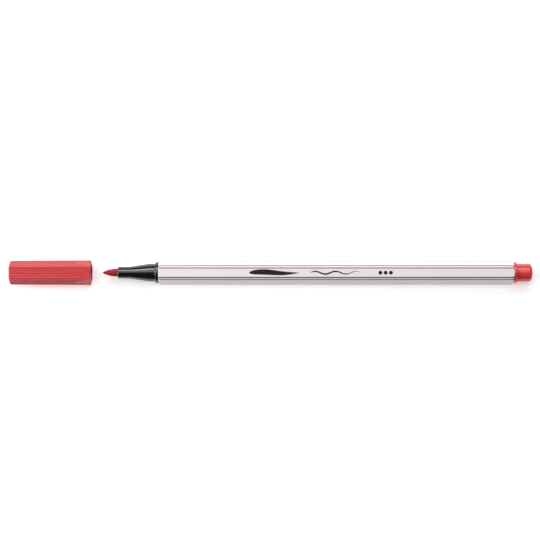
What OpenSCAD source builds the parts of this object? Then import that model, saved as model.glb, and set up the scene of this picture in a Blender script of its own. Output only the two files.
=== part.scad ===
// Hexagonal brush pen, lying flat with its cap drawn off the point.
// The pen lies along X: closed end of the cap at -X, end plug at +X, +Z up.
// A station is a distance along the axis, counted in mm from the very point of the tip.

/* [Barrel] */
// Length of the hexagonal tube
barrel_len = 129.1; // [120:0.1:140]
// Width across two opposite flats
barrel_flats = 7.88; // [7.8:0.02:7.9]
// Radius of the six long corners
barrel_corner_r = 1.5; // [1.2:0.1:1.7]
// Length of the turned chamfer at each end
barrel_chamfer = 0.65; // [0.5:0.05:0.8]
// Diameter of the bore
barrel_bore_d = 6.2; // [6.15:0.05:6.25]

/* [Stripes] */
// Width of one inlaid stripe
stripe_w = 0.4; // [0.3:0.02:0.44]
// Distance from the sharp corner to the middle of a stripe
stripe_inset = 0.56; // [0.5:0.01:0.62]
// Depth of a stripe in the wall
stripe_depth = 0.2; // [0.2:0.05:0.3]

/* [Section] */
// Diameter of the neck that the cap seals on
neck_d = 4.3; // [4.2:0.05:4.3]
// Length of the neck
neck_len = 4.2; // [4:0.1:4.5]
// Length of the flare between the neck and the land
flare_len = 7.2; // [6.5:0.1:8]
// Diameter of the land that the mouth of the cap fits over
land_d = 6.56; // [6.5:0.02:6.6]
// Length of the land
land_len = 2.3; // [1.8:0.1:3]
// Diameter of the flanges on the section and on the end plug
flange_d = 7.84; // [7.7:0.02:7.9]
// Thickness of the flanges
flange_t = 1.2; // [1:0.1:1.5]

/* [Brush tip] */
// Diameter of the tip where it leaves the section
tip_d = 2.9; // [2.8:0.02:2.96]
// Length of the tip outside the section
tip_len = 5.6; // [5.5:0.1:5.8]
// Length of the curved point
point_len = 5.2; // [4.8:0.1:5.2]
// Radius of the blunt end of the point
point_r = 0.18; // [0.14:0.02:0.24]

/* [Ink system] */
// Diameter of the feed rod behind the tip
feed_d = 2.8; // [2.6:0.1:2.8]
// Length of the feed rod inside the reservoir
feed_reach = 9; // [6:1:14]
// Diameter of the wrapped reservoir
reservoir_d = 5.8; // [5.6:0.05:5.8]
// Thickness of the film round the reservoir
film_t = 0.1; // [0.1:0.05:0.2]

/* [End plug] */
// Diameter of the round stub
stub_d = 6.52; // [6.4:0.02:6.6]
// Length of the stub behind its flange
stub_len = 5.9; // [5.5:0.1:6.5]

/* [Cap] */
// Length of the cap
cap_len = 29.8; // [29:0.1:31]
// Width across flats at the open mouth
cap_mouth_flats = 7.96; // [7.9:0.02:8.1]
// Width across flats at the closed end
cap_end_flats = 7.68; // [7.62:0.02:7.8]
// Rounding of the closed end
cap_end_r = 0.6; // [0.4:0.05:0.7]
// Spacing of the grooves on one face
groove_pitch = 0.88; // [0.8:0.02:0.92]
// Depth of a groove
groove_depth = 0.14; // [0.1:0.01:0.16]
// Distance from the point of the tip to the mouth of the cap
cap_gap = 4.05; // [1:0.05:40]

/* [Hidden] */

$fn = 96;
slack = 0.03;      // gap between two pieces that are held together
run = 0.05;        // radial clearance of a fit that slides
over = 0.5;        // how far a cutting shape runs past a face
sink = 0.2;        // how far a rib or spigot reaches into what it joins
rib_count = 6;
flange_edge_r = 0.35;

WHITE = "#f2f2ef";
INK_RED = "#8f4a4c";
BLACK = "#232321";
TIP_RED = "#b02832";
PLUG_RED = "#c23c46";
CAP_RED = "#c4464c";
FIBRE = "#b8323a";
FILM = "#d8dde0";
LINER = "#e9e6df";

// Stations of the main faces
section_s = tip_len;
flare_s = section_s + neck_len;
land_s = flare_s + flare_len;
flange_s = land_s + land_len;
barrel_s = flange_s + flange_t;
plug_s = barrel_s + barrel_len;
stub_s = plug_s + flange_t;
pen_len = stub_s + stub_len;
cap_s = -cap_gap - cap_len;

// The whole length is centred on X = 0, and the mouth of the cap is the lowest point
point_x = (cap_gap + cap_len - pen_len) / 2;
axis_z = cap_mouth_flats / 2;

// Section and ink system
spigot_d = barrel_bore_d - 0.1;
spigot_len = 10.5;
spigot_hollow_d = 4.8;
tip_play = 0.08;
tip_bore_d = tip_d + 2 * tip_play;
tip_bore_flare = 0.15;
feed_bore_len = 18.4;
feed_ribs_s = section_s + 2.9;
feed_gap = 0.12;
feed_s = section_s + tip_d / 2 + feed_gap;
reservoir_s = barrel_s + 12.5;
reservoir_end_s = plug_s - 11.5;
film_lip = 0.3;

// End plug
plug_spigot_len = 8.6;
plug_fin_t = 0.6;
stub_edge_r = 1.1;
stub_crown = 0.4;

// Cap, with heights counted from its closed end
cap_draft = atan((cap_mouth_flats - cap_end_flats) / 2 / cap_len);
cap_wall_end = 1.2;
cap_bore_d = land_d + 2 * run;
cap_lead_in = 0.3;
liner_d = 6.0;
liner_rim_d = 6.4;
liner_rim_t = 0.8;
liner_floor_z = 7.0;
liner_mouth_z = 21.0;
liner_floor_t = 1.0;
chamber_d = 5.0;
seal_d = neck_d + 2 * run;
seal_z = 16.6;
seal_end_z = 19.6;
liner_lead_d = 5.5;
groove_r = 0.24;
grooves_per_face = 4;
tongue_base = 1.2;
tongue_rise = 4.6;
tongue_half = 1.42;

// Places its children with their own Z on the pen's axis, starting at a station
module on_axis(station) {
    translate([point_x + station, 0, axis_z])
        rotate([0, 90, 0])
            children();
}

// A hexagon with flats square to its X axis and rounded corners, whose arcs just cross the flats
module rounded_hexagon(flats, corner_r) {
    crossing = 0.002;
    corner_at = (flats / 2 - corner_r) / cos(30);
    rotate(30)
        circle(r = corner_at, $fn = 6);
    for (turn = [0:60:120])
        rotate(turn)
            square([flats, corner_at], center = true);
    for (turn = [30:60:330])
        rotate(turn)
            translate([corner_at, 0])
                circle(r = corner_r + crossing);
}

// A disc of thickness t, seen as a half profile, with a rounded rim
module rim_profile(d, t, edge_r) {
    square([d / 2 - edge_r, t]);
    translate([0, edge_r])
        square([d / 2, t - 2 * edge_r]);
    for (y = [edge_r, t - edge_r])
        translate([d / 2 - edge_r, y])
            circle(r = edge_r);
}

// A ring of straight ribs between two radii, standing on Z = 0
module rib_ring(count, inner_r, outer_r, width, height, turn = 0) {
    for (k = [0:count - 1])
        rotate(turn + k * 360 / count)
            translate([inner_r, -width / 2, 0])
                cube([outer_r - inner_r, width, height]);
}

// Outside of the hexagonal tube, with both turned chamfers
module barrel_outside() {
    clear = 0.02;
    end_r = barrel_flats / 2 + clear;
    corner_reach = (barrel_flats / 2 - barrel_corner_r) / cos(30) + barrel_corner_r;
    full_r = corner_reach + clear;
    intersection() {
        linear_extrude(barrel_len)
            rounded_hexagon(barrel_flats, barrel_corner_r);
        union() {
            cylinder(h = barrel_chamfer, r1 = end_r, r2 = full_r);
            translate([0, 0, barrel_chamfer])
                cylinder(h = barrel_len - 2 * barrel_chamfer, r = full_r);
            translate([0, 0, barrel_len - barrel_chamfer])
                cylinder(h = barrel_chamfer, r1 = full_r, r2 = end_r);
        }
    }
}

// Room of one stripe: two stripes to a flat, numbered round the barrel from 1
module stripe_room(number) {
    flat = floor((number - 1) / 2);
    side = number % 2 == 1 ? 1 : -1;
    half_side = barrel_flats / 2 * tan(30);
    rotate(60 * flat)
        translate([barrel_flats / 2 - stripe_depth, 0, -over])
            translate([0, side * (half_side - stripe_inset) - stripe_w / 2, 0])
                cube([stripe_depth + over, stripe_w, barrel_len + 2 * over]);
}

module barrel() {
    rib_r = reservoir_d / 2 + slack;
    rib_w = 0.5;
    color(WHITE)
        on_axis(barrel_s) {
            difference() {
                barrel_outside();
                translate([0, 0, -over])
                    cylinder(h = barrel_len + 2 * over, d = barrel_bore_d);
                for (number = [1:12])
                    stripe_room(number);
            }
            translate([0, 0, reservoir_s - barrel_s])
                rib_ring(rib_count, rib_r, barrel_bore_d / 2 + sink, rib_w, reservoir_end_s - reservoir_s);
        }
}

module stripe(number) {
    color(INK_RED)
        on_axis(barrel_s)
            intersection() {
                barrel_outside();
                stripe_room(number);
            }
}

// Half profile of the section from its front face to the back of its flange
module section_profile() {
    front_r = 0.4;
    square([neck_d / 2 - front_r, neck_len]);
    translate([0, front_r])
        square([neck_d / 2, neck_len - front_r]);
    translate([neck_d / 2 - front_r, front_r])
        circle(r = front_r);
    translate([0, neck_len])
        polygon([[0, 0], [neck_d / 2, 0], [land_d / 2, flare_len], [0, flare_len]]);
    translate([0, neck_len + flare_len])
        square([land_d / 2, land_len + over]);
    translate([0, neck_len + flare_len + land_len])
        rim_profile(flange_d, flange_t, flange_edge_r);
}

module section() {
    solid_len = barrel_s - section_s;
    full_len = solid_len + spigot_len;
    rib_w = 0.4;
    color(BLACK)
        on_axis(section_s) {
            difference() {
                union() {
                    rotate_extrude()
                        section_profile();
                    translate([0, 0, solid_len - over])
                        cylinder(h = spigot_len + over, d = spigot_d);
                }
                translate([0, 0, -over])
                    cylinder(h = full_len, d = tip_bore_d);
                cylinder(h = tip_bore_flare, d1 = tip_bore_d + 2 * tip_bore_flare, d2 = tip_bore_d);
                translate([0, 0, feed_bore_len])
                    cylinder(h = full_len, d = spigot_hollow_d);
            }
            translate([0, 0, feed_ribs_s - section_s])
                rib_ring(rib_count, feed_d / 2 + slack, tip_bore_d / 2 + sink, rib_w,
                    feed_bore_len - feed_ribs_s + section_s);
        }
}

// Half profile of the tip: blunt nose, ogive, short cylinder and a ball that turns in the bore
module tip_profile() {
    r = tip_d / 2;
    ogive_r = (r * r - point_r * point_r + pow(point_len - point_r, 2)) / 2 / (r - point_r);
    nose_y = point_r - (point_len - point_r) * point_r / (ogive_r - point_r);
    intersection() {
        translate([r - ogive_r, point_len])
            circle(r = ogive_r, $fn = 360);
        translate([0, nose_y])
            square([2 * r, point_len - nose_y]);
    }
    intersection() {
        union() {
            translate([0, point_r])
                circle(r = point_r);
            translate([0, section_s])
                circle(r = r);
        }
        translate([0, -over])
            square([r, section_s + r + 2 * over]);
    }
    translate([0, point_len])
        square([r, section_s - point_len]);
}

module brush_tip() {
    color(TIP_RED)
        on_axis(0)
            rotate_extrude()
                tip_profile();
}

module feed_rod() {
    taper = 0.8;
    length = reservoir_s + film_lip + feed_reach - feed_s;
    color(FIBRE)
        on_axis(feed_s) {
            cylinder(h = length - taper, d = feed_d);
            translate([0, 0, length - taper])
                cylinder(h = taper, d1 = feed_d, d2 = feed_d - taper);
        }
}

module reservoir_core() {
    length = reservoir_end_s - reservoir_s - 2 * film_lip;
    film_gap = 0.02;
    color(FIBRE)
        on_axis(reservoir_s + film_lip)
            difference() {
                cylinder(h = length, d = reservoir_d - 2 * film_t - film_gap);
                translate([0, 0, -over])
                    cylinder(h = feed_reach + over + slack, d = feed_d + 2 * slack);
            }
}

module reservoir_film() {
    length = reservoir_end_s - reservoir_s;
    color(FILM)
        on_axis(reservoir_s)
            difference() {
                cylinder(h = length, d = reservoir_d);
                translate([0, 0, -over])
                    cylinder(h = length + 2 * over, d = reservoir_d - 2 * film_t);
            }
}

// Half profile of the plug's flange and stub, with a rounded edge and a low crown
module plug_profile() {
    r = stub_d / 2;
    crown_flat = r - stub_edge_r;
    crown_r = (crown_flat * crown_flat + stub_crown * stub_crown) / 2 / stub_crown;
    side_len = stub_len - stub_crown - stub_edge_r;
    rim_profile(flange_d, flange_t, flange_edge_r);
    translate([0, flange_t]) {
        translate([0, -sink])
            square([r, side_len + sink]);
        square([crown_flat, side_len + stub_edge_r]);
        translate([crown_flat, side_len])
            circle(r = stub_edge_r);
        intersection() {
            translate([0, stub_len - crown_r])
                circle(r = crown_r, $fn = 180);
            square([crown_flat, stub_len]);
        }
    }
}

module end_plug() {
    fin_gap = 0.2;
    fin_lead = plug_s - plug_spigot_len - reservoir_end_s - fin_gap;
    color(PLUG_RED)
        on_axis(plug_s) {
            rotate_extrude()
                plug_profile();
            translate([0, 0, -plug_spigot_len])
                difference() {
                    cylinder(h = plug_spigot_len + sink, d = spigot_d);
                    translate([0, 0, -over])
                        cylinder(h = plug_spigot_len + over, d = spigot_hollow_d);
                }
            for (turn = [0, 90])
                rotate(turn)
                    translate([-spigot_hollow_d / 2 - 0.1, -plug_fin_t / 2, -plug_spigot_len - fin_lead])
                        cube([spigot_hollow_d + 0.2, plug_fin_t, plug_spigot_len + fin_lead + 0.1]);
        }
}

module cap_liner() {
    chamber_z = liner_floor_z + liner_floor_t;
    seal_lead = 0.4;
    color(LINER)
        on_axis(cap_s)
            difference() {
                union() {
                    translate([0, 0, liner_floor_z])
                        cylinder(h = liner_mouth_z - liner_floor_z, d = liner_d);
                    translate([0, 0, liner_mouth_z - liner_rim_t])
                        cylinder(h = liner_rim_t, d = liner_rim_d);
                }
                translate([0, 0, chamber_z])
                    cylinder(h = seal_z - chamber_z - seal_lead, d = chamber_d);
                translate([0, 0, seal_z - seal_lead])
                    cylinder(h = seal_lead, d1 = chamber_d, d2 = seal_d);
                translate([0, 0, seal_z - 0.1])
                    cylinder(h = seal_end_z - seal_z + 0.2, d = seal_d);
                translate([0, 0, seal_end_z])
                    cylinder(h = liner_mouth_z - seal_end_z, d1 = seal_d, d2 = liner_lead_d);
                translate([0, 0, liner_mouth_z - 0.01])
                    cylinder(h = over, d = liner_lead_d);
            }
}

// Everything inside one tilted plane that touches the round edge of the closed end
module cap_side(tilt) {
    reach = 60;
    edge_x = cap_end_flats / 2 - cap_end_r * (1 - sin(cap_draft)) / cos(cap_draft);
    translate([edge_x, 0, cap_end_r])
        rotate([0, tilt, 0])
            translate([cap_end_r - reach / 2, -reach / 4, -reach])
                cube([reach / 2, reach / 2, 2 * reach]);
}

// Outside of the cap: six drafted faces, corners trimmed by a cone, stepped round at the closed end
module cap_outside() {
    corner_trim = 0.16;
    end_corner_r = cap_end_flats / 2 / cos(30) - corner_trim / 2;
    mouth_corner_r = cap_mouth_flats / 2 / cos(30) - corner_trim / 2;
    intersection() {
        cylinder(h = cap_len, r1 = end_corner_r, r2 = mouth_corner_r);
        intersection_for(turn = [0:60:300])
            rotate(turn)
                intersection_for(tilt = [cap_draft, 22.5, 45, 67.5])
                    cap_side(tilt);
    }
}

// Length of the smooth tongue in front of a groove that lies y from the middle of its face
function tongue(y) = tongue_base + tongue_rise * sqrt(max(0, 1 - pow(y / tongue_half, 2)));

// One groove with a round bottom and a round front end
module groove(y) {
    length = cap_len - tongue(y);
    translate([cap_end_flats / 2 + groove_r - groove_depth, y, 0])
        rotate([0, cap_draft, 0]) {
            translate([0, 0, -over])
                cylinder(h = length + over, r = groove_r);
            translate([0, 0, length])
                sphere(r = groove_r);
        }
}

module cap_shell() {
    bore_r = cap_bore_d / 2;
    root_r = bore_r + 0.12;
    rib_w = 0.8;
    rib_inner_r = 2;
    stop_z = liner_floor_z - run;
    color(CAP_RED)
        on_axis(cap_s) {
            difference() {
                cap_outside();
                translate([0, 0, cap_wall_end])
                    cylinder(h = cap_len, r = bore_r);
                translate([0, 0, cap_len - cap_lead_in])
                    cylinder(h = cap_lead_in + 0.01, r1 = bore_r, r2 = bore_r + cap_lead_in / 2);
                for (turn = [0:60:300])
                    rotate(turn)
                        for (n = [0:grooves_per_face - 1])
                            groove((n - (grooves_per_face - 1) / 2) * groove_pitch);
            }
            translate([0, 0, cap_wall_end - 0.1])
                rib_ring(rib_count, rib_inner_r, root_r, rib_w, stop_z - cap_wall_end + 0.1, 30);
            translate([0, 0, stop_z - 0.1])
                rib_ring(rib_count, liner_d / 2 + slack, root_r, rib_w,
                    liner_mouth_z - liner_rim_t - run - stop_z + 0.1, 30);
        }
}

barrel();
stripe(1);  // stripe_1
stripe(2);  // stripe_2
stripe(3);  // stripe_3
stripe(4);  // stripe_4
stripe(5);  // stripe_5
stripe(6);  // stripe_6
stripe(7);  // stripe_7
stripe(8);  // stripe_8
stripe(9);  // stripe_9
stripe(10);  // stripe_10
stripe(11);  // stripe_11
stripe(12);  // stripe_12
section();
feed_rod();
reservoir_core();
reservoir_film();
end_plug();
brush_tip();
cap_liner();
cap_shell();
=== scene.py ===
"""Looks of the hexagonal brush pen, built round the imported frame. Metres, +Z up, the pen along X."""
import math

import bmesh
import bpy
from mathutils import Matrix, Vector


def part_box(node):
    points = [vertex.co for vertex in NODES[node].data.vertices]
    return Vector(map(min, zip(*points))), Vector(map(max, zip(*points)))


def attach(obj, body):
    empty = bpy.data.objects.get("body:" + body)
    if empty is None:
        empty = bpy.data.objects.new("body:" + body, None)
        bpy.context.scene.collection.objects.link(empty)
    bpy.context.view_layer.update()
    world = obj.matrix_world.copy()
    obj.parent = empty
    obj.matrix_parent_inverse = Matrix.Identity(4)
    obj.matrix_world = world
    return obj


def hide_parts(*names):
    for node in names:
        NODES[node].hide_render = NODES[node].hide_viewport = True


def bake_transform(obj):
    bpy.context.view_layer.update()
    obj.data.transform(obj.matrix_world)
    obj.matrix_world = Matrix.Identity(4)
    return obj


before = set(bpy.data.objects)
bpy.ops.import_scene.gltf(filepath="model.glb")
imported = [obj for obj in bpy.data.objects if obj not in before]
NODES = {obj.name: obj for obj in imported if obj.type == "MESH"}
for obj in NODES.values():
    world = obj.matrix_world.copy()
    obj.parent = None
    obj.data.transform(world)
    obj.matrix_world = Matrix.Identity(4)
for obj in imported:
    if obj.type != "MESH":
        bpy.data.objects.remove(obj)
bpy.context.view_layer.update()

MM = 0.001

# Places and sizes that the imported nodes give
BARREL_LOW, BARREL_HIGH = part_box("barrel")
SECTION_LOW, SECTION_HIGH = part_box("section")
PLUG_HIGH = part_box("end_plug")[1]
TIP_LOW, TIP_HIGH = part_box("brush_tip")
CAP_LOW, CAP_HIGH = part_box("cap_shell")
LINER_LOW, LINER_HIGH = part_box("cap_liner")
AXIS_Z = (BARREL_LOW.z + BARREL_HIGH.z) / 2
BARREL_APOTHEM = (BARREL_HIGH.z - BARREL_LOW.z) / 2
FLANGE_R = (SECTION_HIGH.z - SECTION_LOW.z) / 2
TIP_R = (TIP_HIGH.z - TIP_LOW.z) / 2
CAP_LENGTH = CAP_HIGH.x - CAP_LOW.x
CAP_MOUTH_APOTHEM = (CAP_HIGH.z - CAP_LOW.z) / 2
LINER_RIM_R = (LINER_HIGH.z - LINER_LOW.z) / 2

# Details of the barrel and its stripes
BARREL_CORNER_R = 1.5 * MM
BARREL_BORE_R = 3.1 * MM
BARREL_CORNER_AT = (BARREL_APOTHEM - BARREL_CORNER_R) / math.cos(math.radians(30))
TURNING_CLEARANCE = 0.02 * MM
BARREL_END_R = BARREL_APOTHEM + TURNING_CLEARANCE
BARREL_FULL_R = BARREL_CORNER_AT + BARREL_CORNER_R + TURNING_CLEARANCE
BARREL_CHAMFER = 0.65 * MM
FLAT_HALF = (BARREL_APOTHEM - BARREL_CORNER_R) * math.tan(math.radians(30))
STRIPE_WIDTH = 0.4 * MM
STRIPE_INSET = 0.56 * MM
STRIPE_SUNK = 0.08 * MM
SURFACE_LIFT = 0.006 * MM    # how far stripes and printed marks stand above the barrel

# Details of the section
NECK_R = 2.15 * MM
NECK_LENGTH = 4.2 * MM
FLARE_LENGTH = 7.2 * MM
LAND_R = 3.28 * MM
LAND_LENGTH = 2.3 * MM
SPIGOT_R = BARREL_BORE_R - 0.05 * MM
SPIGOT_HOLLOW_R = 2.4 * MM
TIP_BORE_R = TIP_R + 0.08 * MM
TIP_BORE_FLARE = 0.15 * MM
NECK_EDGE_R = 0.4 * MM
SPIGOT_EDGE_R = 0.2 * MM
FEED_BORE_LENGTH = 18.4 * MM
RIM_R = 0.35 * MM

# Details of the tip
POINT_LENGTH = 5.2 * MM
POINT_R = 0.18 * MM

# Details of the end plug
STUB_R = 3.26 * MM
PLUG_FLANGE = 1.2 * MM
PLUG_SPIGOT = 8.6 * MM
STUB_CROWN = 0.4 * MM
STUB_EDGE_R = 1.1 * MM

# Details of the cap
CAP_END_APOTHEM = 3.84 * MM
CAP_CORNER_R = 0.5 * MM
CAP_LEAST_CORNER_R = 0.12 * MM
CAP_END_R = 0.6 * MM
CAP_LIP_R = 0.14 * MM
CAP_BORE_R = LAND_R + 0.05 * MM
CAP_END_WALL = 1.2 * MM
GROOVE_PITCH = 0.88 * MM
GROOVE_R = 0.24 * MM
GROOVE_DEPTH = 0.14 * MM
GROOVES = (-1.5, -0.5, 0.5, 1.5)
TONGUE_BASE = 1.2 * MM
TONGUE_RISE = 4.6 * MM
TONGUE_HALF = 1.42 * MM
LINER_FLOOR = 1.0 * MM
CHAMBER_R = 2.5 * MM
SEAL_R = NECK_R + 0.05 * MM
LINER_R = 3.0 * MM
LINER_RIM = 0.8 * MM
LINER_LEAD = 1.4 * MM
LINER_LEAD_R = 2.75 * MM
SEAL_LENGTH = 3.0 * MM
SEAL_LEAD = 0.4 * MM

FACES = 6
SHARP = math.radians(32)
CAMERA_PLACE = (-0.4 * MM, 0.97 * MM, AXIS_Z + 601.4 * MM)


# ---------------------------------------------------------------- shapes

def arc_corner(before, at, after, radius, steps):
    """Points that round the corner at, between two straight runs of an outline."""
    back = (before - at).normalized()
    ahead = (after - at).normalized()
    half = back.angle(ahead) / 2
    reach = radius / math.tan(half)
    centre = at + (back + ahead).normalized() * radius / math.sin(half)
    start = at + back * reach - centre
    end = at + ahead * reach - centre
    turn = start.angle_signed(end)
    points = []
    for k in range(steps + 1):
        a = -turn * k / steps
        spun = Vector((start.x * math.cos(a) - start.y * math.sin(a),
                       start.x * math.sin(a) + start.y * math.cos(a)))
        points.append(centre + spun)
    return points


def rounded(corners, closed=True, steps=8):
    """An outline of (x, r) points from corners given as (x, r) or (x, r, fillet radius)."""
    flat = [Vector(c[:2]) for c in corners]
    points = []
    for k, corner in enumerate(corners):
        radius = corner[2] if len(corner) > 2 else 0
        is_end = not closed and k in (0, len(corners) - 1)
        if radius and not is_end:
            points += arc_corner(flat[k - 1], flat[k], flat[(k + 1) % len(flat)], radius, steps)
        else:
            points.append(flat[k])
    return points


def axis_point(x, r, turn):
    """A point r from the pen's axis, turned from the upright."""
    return Vector((x, -r * math.sin(turn), AXIS_Z + r * math.cos(turn)))


def add_piece(name, bm, material, body, stands_for=()):
    """Makes a smooth-shaded object of a bmesh and sets it on its body."""
    bmesh.ops.remove_doubles(bm, verts=bm.verts, dist=1e-7)
    bmesh.ops.recalc_face_normals(bm, faces=bm.faces)
    mesh = bpy.data.meshes.new(name)
    bm.to_mesh(mesh)
    bm.free()
    for polygon in mesh.polygons:
        polygon.use_smooth = True
    mesh.set_sharp_from_angle(angle=SHARP)
    mesh.materials.append(material)
    piece = bpy.data.objects.new(name, mesh)
    bpy.context.scene.collection.objects.link(piece)
    if body:
        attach(piece, body)
    if stands_for:
        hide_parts(*stands_for)
    return piece


def rings_to_mesh(rings, closed=False):
    """A bmesh skin over rings of points. A ring of one point is a pole."""
    bm = bmesh.new()
    made = [[bm.verts.new(p) for p in ring] for ring in rings]
    pairs = list(zip(made, made[1:]))
    if closed:
        pairs.append((made[-1], made[0]))
    for low, high in pairs:
        count = max(len(low), len(high))
        for k in range(count):
            n = (k + 1) % count
            if len(low) == 1:
                bm.faces.new((low[0], high[n], high[k]))
            elif len(high) == 1:
                bm.faces.new((low[k], low[n], high[0]))
            else:
                bm.faces.new((low[k], low[n], high[n], high[k]))
    return bm


def lathe(points, closed, sides=128):
    """A solid of revolution about the pen's axis from an outline of (x, r) points."""
    rings = []
    for x, r in points:
        if r < 1e-9:
            rings.append([axis_point(x, 0, 0)])
        else:
            rings.append([axis_point(x, r, math.tau * k / sides) for k in range(sides)])
    return rings_to_mesh(rings, closed)


def soft_min(a, b, blend=0.03 * MM):
    """The smaller of two lengths, with the crossing rounded off."""
    mix = max(0.0, blend - abs(a - b)) / blend
    return min(a, b) - mix * mix * blend / 4


def spread(low, high, count):
    """count evenly spaced values from low to high."""
    return [low + (high - low) * k / (count - 1) for k in range(count)]


def hexagon_turns(apothem, corner_r, marks, corner_steps=8):
    """Angles round a hexagon: at each of the marks on every flat, and close together at the corners."""
    corner_start = math.atan((apothem - corner_r) * math.tan(math.radians(30)) / apothem)
    one = [math.atan(u / apothem) for u in marks]
    one += spread(corner_start, math.radians(60) - corner_start, corner_steps)
    return [face * math.tau / FACES + turn for face in range(FACES) for turn in one]


def hexagon_radius(turn, apothem, corner_r):
    """Distance from the centre to the outline of a hexagon with rounded corners."""
    step = math.tau / FACES
    off = abs((turn + step / 2) % step - step / 2)
    corner_at = (apothem - corner_r) / math.cos(step / 2)
    if apothem * math.tan(off) <= corner_at / 2:
        return apothem / math.cos(off)
    aside = step / 2 - off
    return corner_at * math.cos(aside) + math.sqrt(corner_r ** 2 - (corner_at * math.sin(aside)) ** 2)


# ---------------------------------------------------------------- materials

class Nodes:
    """A material's node tree, with short calls to add and join nodes."""

    def __init__(self, name):
        self.material = bpy.data.materials.new(name)
        self.material.use_nodes = True
        self.tree = self.material.node_tree
        self.shader = self.tree.nodes["Principled BSDF"]
        self.coords = self.tree.nodes.new("ShaderNodeTexCoord")

    def add(self, kind, **inputs):
        """A node with its inputs set, each from a value or from another node's output."""
        node = self.tree.nodes.new("ShaderNode" + kind)
        for key, value in inputs.items():
            self.set(node, key.replace("_", " "), value)
        return node

    def set(self, node, key, value):
        """Sets or joins one input of a node."""
        socket = node.inputs[key]
        if isinstance(value, bpy.types.NodeSocket):
            self.tree.links.new(value, socket)
        else:
            socket.default_value = value

    def noise(self, scale, stretch=(1, 1, 1), detail=3.0, rough=0.5):
        """Noise over the object, with a feature count per metre and a stretch for each axis."""
        mapping = self.add("Mapping", Scale=stretch)
        self.set(mapping, "Vector", self.coords.outputs["Object"])
        return self.add("TexNoise", Vector=mapping.outputs["Vector"], Scale=scale, Detail=detail,
                        Roughness=rough).outputs["Fac"]

    def fit(self, value, low, high, from_low=0.3, from_high=0.7):
        """A value moved from one range to another, held inside it."""
        node = self.add("MapRange", Value=value)
        self.set(node, "From Min", from_low)
        self.set(node, "From Max", from_high)
        self.set(node, "To Min", low)
        self.set(node, "To Max", high)
        return node.outputs["Result"]

    def mix(self, amount, first, second):
        """A colour between two colours."""
        node = self.add("Mix")
        node.data_type = "RGBA"
        sockets = [s for s in node.inputs if s.enabled]
        for socket, value in zip(sockets, (amount, first, second)):
            if isinstance(value, bpy.types.NodeSocket):
                self.tree.links.new(value, socket)
            else:
                socket.default_value = value
        return next(s for s in node.outputs if s.enabled)

    def bump(self, height, depth, below=None):
        """A bump of that depth in metres, on top of another."""
        node = self.add("Bump", Height=height, Distance=depth, Strength=1.0)
        if below:
            self.set(node, "Normal", below)
        return node.outputs["Normal"]

    def finish(self, **inputs):
        """Sets the shader's own inputs and returns the material."""
        for key, value in inputs.items():
            self.set(self.shader, key.replace("_", " "), value)
        return self.material


def tone(colour, factor):
    """A colour made lighter or darker, with its alpha kept."""
    return tuple(min(1.0, c * factor) for c in colour[:3]) + (1.0,)


def plastic(name, colour, roughness, grain, along=0.08, variation=0.06, bump=0.4e-6, specular=0.5):
    """Moulded or drawn plastic: faint flow marks along X, lighter patches, scuffs and a fine skin."""
    n = Nodes(name)
    flow = n.noise(grain, (along, 1, 1), 4.0)
    blotch = n.noise(90, (0.4, 1, 1), 2.0)
    scuff = n.noise(2600, (0.12, 1, 1), 5.0, 0.65)
    skin = n.noise(5200, (1, 1, 1), 2.0)
    shade = n.mix(n.fit(flow, 0.0, 1.0), tone(colour, 1 - variation), tone(colour, 1 + variation))
    worn = n.mix(n.fit(blotch, 0.0, 0.5), shade, tone(colour, 1 + variation / 2))
    gloss = n.fit(scuff, roughness * 0.92, roughness * 1.16, 0.35, 0.75)
    height = n.bump(skin, bump * 2, n.bump(flow, bump * 5))
    return n.finish(Base_Color=worn, Roughness=gloss, Normal=height, IOR=1.5,
                    Specular_IOR_Level=specular)


def fibre(name, colour, deep, roughness, sheen):
    """Ink-soaked fibre: fine strands along X, with the gaps between them painted darker as painted shade,
    and a damp sheen.
    """
    n = Nodes(name)
    strands = n.noise(9000, (0.07, 1, 1), 3.0, 0.6)
    fuzz = n.noise(15000, (1, 1, 1), 2.0)
    pool = n.noise(600, (0.6, 1, 1), 2.0)
    # painted shade: the low gaps of the strand bump take the deep colour
    base = n.mix(n.fit(strands, 0.0, 1.0), deep, colour)
    soaked = n.mix(n.fit(pool, 0.0, 0.55), base, deep)
    height = n.bump(fuzz, 4e-6, n.bump(strands, 1.6e-5))
    return n.finish(Base_Color=soaked, Roughness=n.fit(strands, roughness * 1.15, roughness * 0.8),
                    Normal=height, Sheen_Weight=sheen, Sheen_Roughness=0.4, Specular_IOR_Level=0.2)


def print_ink(name, colour):
    """A thin film of printing ink, a little uneven."""
    n = Nodes(name)
    cover = n.noise(4000, (1, 1, 1), 4.0, 0.6)
    shade = n.mix(n.fit(cover, 0.0, 1.0), colour, tone(colour, 1.7))
    return n.finish(Base_Color=shade, Roughness=n.fit(cover, 0.34, 0.5),
                    Normal=n.bump(cover, 1e-6), Specular_IOR_Level=0.15)


def clear_film(name):
    """Thin clear wrap with slight creases."""
    n = Nodes(name)
    crease = n.noise(500, (0.3, 1, 1), 3.0)
    tint = n.mix(crease, (0.78, 0.82, 0.84, 1), (0.9, 0.92, 0.93, 1))
    return n.finish(Base_Color=tint, Roughness=n.fit(crease, 0.1, 0.25), Alpha=0.35,
                    Normal=n.bump(crease, 1e-5))


def paper_floor(name):
    """Pale matt board with a very faint tooth, which gives off some light of its own."""
    n = Nodes(name)
    tooth = n.noise(1200, (1, 1, 1), 5.0)
    shade = n.mix(tooth, (0.95, 0.95, 0.95, 1), (0.97, 0.97, 0.968, 1))
    return n.finish(Base_Color=shade, Roughness=0.85, Specular_IOR_Level=0.2,
                    Emission_Color=(1, 1, 1, 1), Emission_Strength=0.41,
                    Normal=n.bump(tooth, 5e-6))


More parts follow.
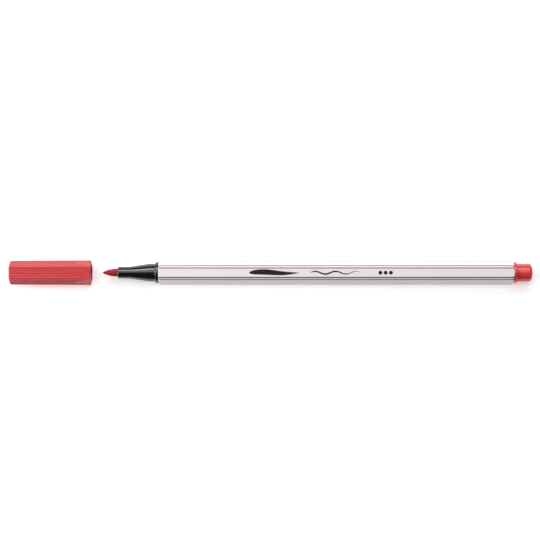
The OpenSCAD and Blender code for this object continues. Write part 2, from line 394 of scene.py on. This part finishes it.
WHITE_PLASTIC = plastic("white_plastic", (0.84, 0.84, 0.83, 1), roughness=0.22, grain=1700,
                        along=0.03, variation=0.012, bump=0.2e-6)
STRIPE_PLASTIC = plastic("stripe_plastic", (0.28, 0.022, 0.025, 1), roughness=0.24, grain=1700,
                         along=0.03, variation=0.08, bump=0.2e-6)
BLACK_PLASTIC = plastic("black_plastic", (0.006, 0.006, 0.0055, 1), roughness=0.17, grain=900,
                        along=0.3, variation=0.15, bump=0.3e-6, specular=0.9)
CAP_PLASTIC = plastic("cap_plastic", (0.6, 0.054, 0.064, 1), roughness=0.26, grain=1100,
                      along=0.1, variation=0.03, bump=0.04e-6, specular=0.34)
PLUG_PLASTIC = plastic("plug_plastic", (0.74, 0.046, 0.05, 1), roughness=0.24, grain=1100,
                       along=0.3, variation=0.03, bump=0.1e-6, specular=0.75)
LINER_PLASTIC = plastic("liner_plastic", (0.72, 0.69, 0.63, 1), roughness=0.42, grain=1500,
                        along=0.5, variation=0.03, bump=0.6e-6)
TIP_FIBRE = fibre("tip_fibre", (0.6, 0.02, 0.03, 1), (0.22, 0.005, 0.009, 1), roughness=0.5, sheen=0.03)
CORE_FIBRE = fibre("core_fibre", (0.5, 0.03, 0.045, 1), (0.25, 0.01, 0.015, 1), roughness=0.7, sheen=0.1)
FILM = clear_film("clear_film")
BLACK_INK = print_ink("black_ink", (0.012, 0.012, 0.012, 1))


# ---------------------------------------------------------------- barrel

def barrel_stations():
    """Distances from one end of the barrel to each ring, close together over the turned ends."""
    turned = spread(0, BARREL_CHAMFER * 1.2, 18)
    length = BARREL_HIGH.x - BARREL_LOW.x
    middle = spread(BARREL_CHAMFER * 1.6, length - BARREL_CHAMFER * 1.6, 12)
    return turned + middle + [length - t for t in reversed(turned)]


def turned_radius(station):
    """Radius of the turned chamfer at a distance along the barrel."""
    length = BARREL_HIGH.x - BARREL_LOW.x
    end = min(station, length - station)
    return BARREL_END_R + (BARREL_FULL_R - BARREL_END_R) * end / BARREL_CHAMFER


def barrel_ring(station, turns):
    """One ring round the outside of the barrel."""
    cone = turned_radius(station)
    return [axis_point(BARREL_LOW.x + station,
                       soft_min(hexagon_radius(turn, BARREL_APOTHEM, BARREL_CORNER_R), cone), turn)
            for turn in turns]


def make_barrel():
    """The hexagonal tube, with its bore and both end faces."""
    turns = hexagon_turns(BARREL_APOTHEM, BARREL_CORNER_R, spread(-0.97 * FLAT_HALF, 0.97 * FLAT_HALF, 31))
    stations = barrel_stations()
    edge = 0.06 * MM
    rings = [barrel_ring(s, turns) for s in stations]
    for x in (BARREL_HIGH.x, BARREL_LOW.x):
        inward = edge if x == BARREL_LOW.x else -edge
        bore = [[axis_point(x, BARREL_BORE_R + edge, t) for t in turns],
                [axis_point(x + inward, BARREL_BORE_R, t) for t in turns]]
        rings += bore if x == BARREL_HIGH.x else bore[::-1]
    add_piece("barrel_tube", rings_to_mesh(rings, closed=True), WHITE_PLASTIC, "pen",
              ["barrel"])


def skin_height(across, station):
    """Height of the barrel's skin above its axis, at a distance across one flat."""
    past = max(0.0, abs(across) - FLAT_HALF)
    full = BARREL_APOTHEM - BARREL_CORNER_R + math.sqrt(BARREL_CORNER_R ** 2 - past ** 2)
    return soft_min(full, math.sqrt(turned_radius(station) ** 2 - across ** 2))


def make_stripe(number):
    """One inlaid stripe that follows its flat and runs on over both turned ends."""
    face = (number - 1) // 2
    side = 1 if number % 2 else -1
    half_side = BARREL_APOTHEM * math.tan(math.radians(30))
    middle = side * (half_side - STRIPE_INSET)
    length = BARREL_HIGH.x - BARREL_LOW.x
    stations = [s for s in barrel_stations() if 0 < s < length]
    rings = []
    for s in stations:
        x = BARREL_LOW.x + s
        ring = []
        for u, sunk in ((-1, True), (-1, False), (-0.5, False), (0, False), (0.5, False), (1, False),
                        (1, True)):
            across = middle + u * STRIPE_WIDTH / 2
            height = skin_height(across, s) + SURFACE_LIFT - (STRIPE_SUNK if sunk else 0)
            turn = math.pi + face * math.tau / FACES + math.atan2(across, height)
            ring.append(axis_point(x, math.hypot(across, height), turn))
        rings.append(ring)
    bm = rings_to_mesh(rings)
    bm.verts.ensure_lookup_table()
    count = len(rings[0])
    bm.faces.new([bm.verts[k] for k in range(count)])
    bm.faces.new([bm.verts[len(bm.verts) - 1 - k] for k in range(count)])
    add_piece(f"inlay_{number}", bm, STRIPE_PLASTIC, "pen", [f"stripe_{number}"])


# ---------------------------------------------------------------- section, tip and plug

def make_section():
    """The black nib holder, with its flare, flange, spigot and bore."""
    front = SECTION_LOW.x
    flare = front + NECK_LENGTH
    land = flare + FLARE_LENGTH
    flange = land + LAND_LENGTH
    back = BARREL_LOW.x
    neck_sweep = 12 * MM
    land_sweep = 4 * MM
    outline = rounded([
        (front, TIP_BORE_R + TIP_BORE_FLARE),
        (front, NECK_R, NECK_EDGE_R),
        (flare, NECK_R, neck_sweep),
        (land, LAND_R, land_sweep),
        (flange, LAND_R, 0.12 * MM),
        (flange, FLANGE_R, RIM_R),
        (back, FLANGE_R, RIM_R),
        (back, SPIGOT_R),
        (SECTION_HIGH.x, SPIGOT_R, SPIGOT_EDGE_R),
        (SECTION_HIGH.x, SPIGOT_HOLLOW_R),
        (front + FEED_BORE_LENGTH, SPIGOT_HOLLOW_R),
        (front + FEED_BORE_LENGTH, TIP_BORE_R),
        (front + TIP_BORE_FLARE, TIP_BORE_R, 0.06 * MM)])
    add_piece("nib_holder", lathe(outline, True), BLACK_PLASTIC, "pen", ["section"])


def tip_outline():
    """The blunt ogive of the fibre point, and the round stem behind it that ends inside the bore."""
    ogive_r = (TIP_R ** 2 - POINT_R ** 2 + (POINT_LENGTH - POINT_R) ** 2) / 2 / (TIP_R - POINT_R)
    nose_end = POINT_R - (POINT_LENGTH - POINT_R) * POINT_R / (ogive_r - POINT_R)
    nose_turn = math.acos(1 - nose_end / POINT_R)
    points = [(TIP_LOW.x, 0.0)]
    for a in spread(nose_turn / 8, nose_turn, 8):
        points.append((TIP_LOW.x + POINT_R * (1 - math.cos(a)), POINT_R * math.sin(a)))
    for u in spread(nose_end * 1.3, POINT_LENGTH, 26):
        r = math.sqrt(ogive_r ** 2 - (POINT_LENGTH - u) ** 2) - ogive_r + TIP_R
        points.append((TIP_LOW.x + u, r))
    end = TIP_HIGH.x - 0.1 * MM
    edge = 0.2 * MM
    for x in spread(TIP_LOW.x + POINT_LENGTH, end - edge, 12)[1:]:
        points.append((x, TIP_R))
    return points + [(end, TIP_R - edge), (end, 0.0)]


def make_tip():
    """The fibre point, in front of the section."""
    piece = add_piece("fibre_point", lathe(tip_outline(), False, 96), TIP_FIBRE, None,
                      ["brush_tip"])
    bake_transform(piece)


def make_plug():
    """The red end plug, with its flange, round stub and low crown."""
    base = BARREL_HIGH.x
    stub = base + PLUG_FLANGE
    end = PLUG_HIGH.x
    crown_flat = STUB_R - STUB_EDGE_R
    crown_r = (crown_flat ** 2 + STUB_CROWN ** 2) / 2 / STUB_CROWN
    crown = [(end - crown_r + math.sqrt(crown_r ** 2 - r ** 2), r)
             for r in spread(0, crown_flat, 12)]
    outline = crown[:-1] + [tuple(p) for p in rounded([
        (end - STUB_CROWN, crown_flat - 0.1 * MM),
        (end - STUB_CROWN, STUB_R, STUB_EDGE_R),
        (stub, STUB_R, 0.1 * MM),
        (stub, FLANGE_R, RIM_R),
        (base, FLANGE_R, RIM_R),
        (base, SPIGOT_R),
        (base - PLUG_SPIGOT, SPIGOT_R, SPIGOT_EDGE_R),
        (base - PLUG_SPIGOT, SPIGOT_HOLLOW_R),
        (base, SPIGOT_HOLLOW_R),
        (base, 0.0)], closed=False)[1:]]
    add_piece("tail_plug", lathe(outline, False), PLUG_PLASTIC, "pen", ["end_plug"])


# ---------------------------------------------------------------- cap

def cap_apothem(z):
    """Half the width across flats of the cap at a height above its closed end."""
    return CAP_END_APOTHEM + (CAP_MOUTH_APOTHEM - CAP_END_APOTHEM) * z / CAP_LENGTH


def tongue(u):
    """Length of the smooth tongue in front of a groove that lies u from the middle of its face."""
    return TONGUE_BASE + TONGUE_RISE * math.sqrt(max(0.0, 1 - (u / TONGUE_HALF) ** 2))


def groove_cut(u, z):
    """How far the grooves cut into a face at u from its middle and z from the closed end."""
    deepest = 0.0
    for place in GROOVES:
        at = place * GROOVE_PITCH
        past = max(0.0, z - (CAP_LENGTH - tongue(at)))
        away = math.hypot(u - at, past)
        if away < GROOVE_R:
            deepest = max(deepest, math.sqrt(GROOVE_R ** 2 - away ** 2) - GROOVE_R + GROOVE_DEPTH)
    return deepest


def cap_inset(z):
    """How far the rounded ends of the cap lie inside its straight sides at a height."""
    if z < CAP_END_R:
        return CAP_END_R - math.sqrt(max(0.0, CAP_END_R ** 2 - (CAP_END_R - z) ** 2))
    left = CAP_LENGTH - z
    if left < CAP_LIP_R:
        return CAP_LIP_R - math.sqrt(max(0.0, CAP_LIP_R ** 2 - (CAP_LIP_R - left) ** 2))
    return 0.0


def cap_marks():
    """Places across one face of the cap where its rings have points."""
    flat_half = 2.0 * MM
    side_start = 1.65 * MM
    across = GROOVE_R * 0.92
    marks = []
    for place in GROOVES:
        marks += [place * GROOVE_PITCH + across * math.sin(a) for a in spread(-math.pi / 2, math.pi / 2, 11)]
        marks.append(place * GROOVE_PITCH + GROOVE_PITCH / 2)
    marks = [m for m in marks if m < flat_half] + spread(side_start, flat_half, 4)
    return sorted(marks + [-m for m in spread(side_start, flat_half, 4)])


def cap_heights():
    """Heights of the cap's rings: close together round both ends and where the grooves stop."""
    closed = [CAP_END_R * (1 - math.cos(a)) for a in spread(0, math.pi / 2, 12)]
    body = spread(CAP_END_R * 1.2, CAP_LENGTH - TONGUE_BASE - TONGUE_RISE - 0.4 * MM, 14)
    stops = spread(body[-1] + 0.05 * MM, CAP_LENGTH - TONGUE_BASE, 90)
    lip = [CAP_LENGTH - CAP_LIP_R * (1 - math.cos(a)) for a in spread(math.pi / 2, 0, 6)]
    return closed + body + stops + lip


def cap_ring(z, turns):
    """One ring round the outside of the cap."""
    apothem = cap_apothem(z) - cap_inset(z)
    corner_r = max(CAP_LEAST_CORNER_R, CAP_CORNER_R - cap_inset(z) * 0.7)
    step = math.tau / FACES
    ring = []
    for turn in turns:
        off = (turn + step / 2) % step - step / 2
        r = hexagon_radius(turn, apothem, corner_r)
        across = r * math.sin(off)
        height = min(r * math.cos(off), cap_apothem(z) - groove_cut(across, z))
        ring.append(axis_point(CAP_LOW.x + z, math.hypot(across, height),
                               turn - off + math.atan2(across, height)))
    return ring


def make_cap():
    """The hexagonal cap with its grooves, and the smooth bore behind its mouth."""
    turns = hexagon_turns(CAP_MOUTH_APOTHEM, CAP_CORNER_R, cap_marks())
    outside = [cap_ring(z, turns) for z in cap_heights()]
    first = outside[0]
    centre = axis_point(CAP_LOW.x, 0, 0)
    closed_end = [[centre]] + [[centre.lerp(p, f) for p in first] for f in (0.35, 0.7, 0.96)]
    mouth = CAP_HIGH.x
    bore = [(mouth, CAP_BORE_R + 0.2 * MM), (mouth - 0.08 * MM, CAP_BORE_R + 0.12 * MM),
            (mouth - 0.3 * MM, CAP_BORE_R), (mouth - 12 * MM, CAP_BORE_R),
            (CAP_LOW.x + CAP_END_WALL, CAP_BORE_R)]
    inside = [[axis_point(x, r, t) for t in turns] for x, r in bore]
    floor = [[axis_point(CAP_LOW.x + CAP_END_WALL, 0, 0)]]
    add_piece("cap_body", rings_to_mesh(closed_end + outside + inside + floor), CAP_PLASTIC,
              "cap_outer", ["cap_shell"])


def make_liner():
    """The round inner cup that seals on the section's neck."""
    mouth = LINER_HIGH.x
    floor = LINER_LOW.x
    seal_end = mouth - LINER_LEAD
    seal_start = seal_end - SEAL_LENGTH
    chamber_end = seal_start - SEAL_LEAD
    inner_floor = floor + LINER_FLOOR
    outline = rounded([
        (inner_floor, 0.0),
        (inner_floor, CHAMBER_R, 0.4 * MM),
        (chamber_end, CHAMBER_R, 0.2 * MM),
        (seal_start, SEAL_R, 0.2 * MM),
        (seal_end, SEAL_R, 0.3 * MM),
        (mouth, LINER_LEAD_R, 0.1 * MM),
        (mouth, LINER_RIM_R, 0.1 * MM),
        (mouth - LINER_RIM, LINER_RIM_R, 0.1 * MM),
        (mouth - LINER_RIM, LINER_R, 0.1 * MM),
        (floor, LINER_R, 0.3 * MM),
        (floor, 0.0)], closed=False)
    add_piece("inner_cup", lathe(outline, False), LINER_PLASTIC, "cap_inner",
              ["cap_liner"])


# ---------------------------------------------------------------- plain printed marks

def print_patch(name, outlines):
    """A thin film of ink on the upper flat, from closed outlines of (x, y) points."""
    top = AXIS_Z + BARREL_APOTHEM + SURFACE_LIFT
    depth = 0.03 * MM
    bm = bmesh.new()
    for outline in outlines:
        upper = [bm.verts.new((x, y, top)) for x, y in outline]
        lower = [bm.verts.new((x, y, top - depth)) for x, y in outline]
        bm.faces.new(upper)
        bm.faces.new(lower[::-1])
        for k in range(len(outline)):
            n = (k + 1) % len(outline)
            bm.faces.new((upper[k], lower[k], lower[n], upper[n]))
    bmesh.ops.triangulate(bm, faces=[f for f in bm.faces if len(f.verts) > 4])
    add_piece(name, bm, BLACK_INK, "pen")


def stroke(start, length, sway, width, waves=1.0, taper=0.6, steps=60):
    """Outline of one brush stroke: a swaying line that swells and thins."""
    upper = []
    lower = []
    for k in range(steps + 1):
        t = k / steps
        x = start[0] + length * t
        y = start[1] + sway * math.sin(math.tau * waves * t)
        half = width / 2 * (0.04 + math.sin(math.pi * t ** taper) ** 0.8 * 0.96)
        upper.append((x, y + half))
        lower.append((x, y - half))
    return upper + lower[::-1]


def dot(x, y, radius, steps=32):
    """Outline of one round dot."""
    return [(x + radius * math.cos(a), y + radius * math.sin(a))
            for a in spread(0, math.tau * (1 - 1 / steps), steps)]


def make_marks():
    """Neutral marks where the maker's print would be: two strokes and a row of dots."""
    origin = BARREL_LOW.x
    print_patch("mark_bold", [stroke((origin + 33 * MM, 0), 18 * MM, 0.25 * MM, 2.0 * MM)])
    print_patch("mark_fine", [stroke((origin + 55 * MM, 0), 18.6 * MM, 0.5 * MM, 0.6 * MM, 2.5)])
    print_patch("mark_dots", [dot(origin + x * MM, 0, 0.7 * MM) for x in (80.5, 82.4, 84.3)])


# ---------------------------------------------------------------- nodes kept from the frame

def dress_inner_nodes():
    """Gives the hidden ink parts their materials."""
    for name, material in (("feed_rod", CORE_FIBRE), ("reservoir_core", CORE_FIBRE),
                           ("reservoir_film", FILM)):
        mesh = NODES[name].data
        mesh.materials.clear()
        mesh.materials.append(material)


# ---------------------------------------------------------------- stage

def make_floor():
    """A pale board under the pen."""
    mesh = bpy.data.meshes.new("floor_board")
    half = 3.0
    mesh.from_pydata([(-half, -half, 0), (half, -half, 0), (half, half, 0), (-half, half, 0)], [],
                     [(0, 1, 2, 3)])
    mesh.materials.append(paper_floor("paper_floor"))
    board = bpy.data.objects.new("floor_board", mesh)
    bpy.context.scene.collection.objects.link(board)


def aim(item, target):
    """Turns a light so that it points at a place."""
    item.rotation_mode = "QUATERNION"
    item.rotation_quaternion = (Vector(target) - item.location).to_track_quat("-Z", "Y")


def add_softbox(name, place, size, power):
    """A rectangular soft light that points at the pen."""
    lamp = bpy.data.lights.new(name, "AREA")
    lamp.shape = "RECTANGLE"
    lamp.size, lamp.size_y = size
    lamp.energy = power
    lamp_object = bpy.data.objects.new(name, lamp)
    lamp_object.location = place
    bpy.context.scene.collection.objects.link(lamp_object)
    aim(lamp_object, (0, 0, AXIS_Z))


def light_scene():
    """Soft lights on the far side, overhead and past the cap, and a faint surround."""
    add_softbox("main_softbox", (-0.1, 0.72, 0.7), (1.05, 0.42), 7.0)
    add_softbox("top_softbox", (0.0, 0.27, 1.0), (1.2, 0.3), 2.4)
    add_softbox("end_softbox", (-0.95, 0.0, 0.45), (0.7, 0.7), 10.5)
    world = bpy.data.worlds.new("surround")
    world.use_nodes = True
    world.node_tree.nodes["Background"].inputs["Color"].default_value = (1, 1, 1, 1)
    world.node_tree.nodes["Background"].inputs["Strength"].default_value = 0.02
    bpy.context.scene.world = world
    bpy.context.scene.view_settings.view_transform = "Standard"


def add_camera():
    """Looks straight down from 0.6 m, a little to the far side of the pen's axis."""
    lens = bpy.data.cameras.new("camera")
    lens.lens = 110
    lens.sensor_width = 36
    lens.clip_start = 0.01
    lens.clip_end = 20
    camera = bpy.data.objects.new("camera", lens)
    camera.location = CAMERA_PLACE
    bpy.context.scene.collection.objects.link(camera)
    bpy.context.scene.camera = camera


def main():
    """Builds every piece, then the stage."""
    make_barrel()
    for number in range(1, 13):
        make_stripe(number)
    make_section()
    make_tip()
    make_plug()
    make_cap()
    make_liner()
    make_marks()
    dress_inner_nodes()
    make_floor()
    light_scene()
    add_camera()


main()
